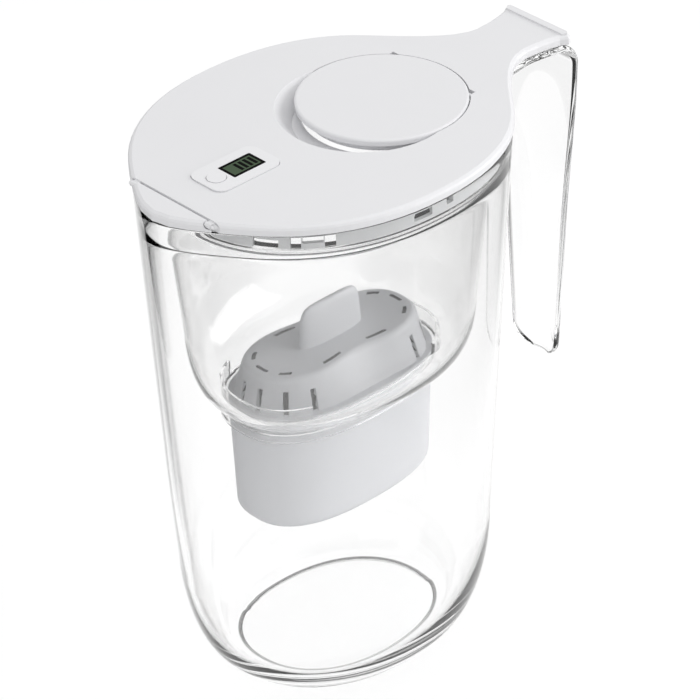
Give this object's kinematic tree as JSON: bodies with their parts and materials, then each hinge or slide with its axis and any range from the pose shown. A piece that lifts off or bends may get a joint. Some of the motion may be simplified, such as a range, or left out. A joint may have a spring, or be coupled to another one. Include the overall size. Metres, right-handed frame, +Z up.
{
  "type": "water filter pitcher",
  "caption": "Clear oval filter jug with hook handle, hanging reservoir, drop-in cartridge, and a white lid with flip-up filling disc, spout flap and change timer.",
  "frame": {"origin": "on the table plane, under the middle of the whole object's length and width", "axes": "+Z up, +X towards the handle, -X towards the spout, Y across; the object is mirrored about Y = 0"},
  "size_m": [0.2424, 0.1532, 0.274],
  "materials": {
    "clear_plastic": "clear polished",
    "white_plastic": "satin",
    "pale_grey_plastic": "satin",
    "grey_plastic": "satin",
    "skirt_grey": "satin",
    "mesh_white": "woven",
    "carbon_black": "granular",
    "window_black": "polished",
    "lcd_green": "smooth",
    "seal_rubber": "matte",
    "board_green": "lacquered",
    "cell_steel": "brushed",
    "contact_brass": "plain"
  },
  "bodies": {
    "jug": {"jug_shell": "clear_plastic", "jug_handle": "clear_plastic"},
    "funnel": {"reservoir": "clear_plastic"},
    "cartridge": {"cartridge_cup": "pale_grey_plastic", "cartridge_cap": "grey_plastic", "inlet_screen": "mesh_white", "filter_medium": "carbon_black", "outlet_screen": "mesh_white"},
    "lid": {"lid_cover": "white_plastic", "lid_liner": "skirt_grey", "timer_bezel": "white_plastic", "lcd_window": "window_black", "lcd_panel": "lcd_green", "zebra_strips": "seal_rubber", "timer_board": "board_green", "tact_switch": "window_black", "coin_cell": "cell_steel", "battery_contact": "contact_brass", "timer_case": "white_plastic"},
    "flip_lid": {"flip_disc": "white_plastic", "flip_liner": "white_plastic"},
    "spout_door": {"spout_flap": "white_plastic"},
    "reset_key": {"reset_button": "white_plastic"}
  },
  "joints": [
    {"name": "funnel_lift", "type": "slide", "parent": "jug", "child": "funnel", "axis": [0, 0, 1], "range_m": [0, 0.19]},
    {"name": "cartridge_lift", "type": "slide", "parent": "funnel", "child": "cartridge", "axis": [0, 0, 1], "range_m": [0, 0.18]},
    {"name": "lid_lift", "type": "slide", "parent": "cartridge", "child": "lid", "axis": [0, 0, 1], "range_m": [0, 0.1]},
    {"name": "flip_lid_hinge", "type": "hinge", "parent": "lid", "child": "flip_lid", "pos_m": [0.0459, 0, 0.27169], "axis": [0, 1, 0], "range_deg": [0, 95]},
    {"name": "spout_flap_hinge", "type": "hinge", "parent": "lid", "child": "spout_door", "pos_m": [-0.1098, 0, 0.2713], "axis": [0, 1, 0], "range_deg": [0, 55]},
    {"name": "reset_press", "type": "slide", "parent": "lid", "child": "reset_key", "axis": [0, 0, -1], "range_m": [0, 0.0005], "stiffness_N_per_m": 800, "springref_m": -0.0002}
  ]
}
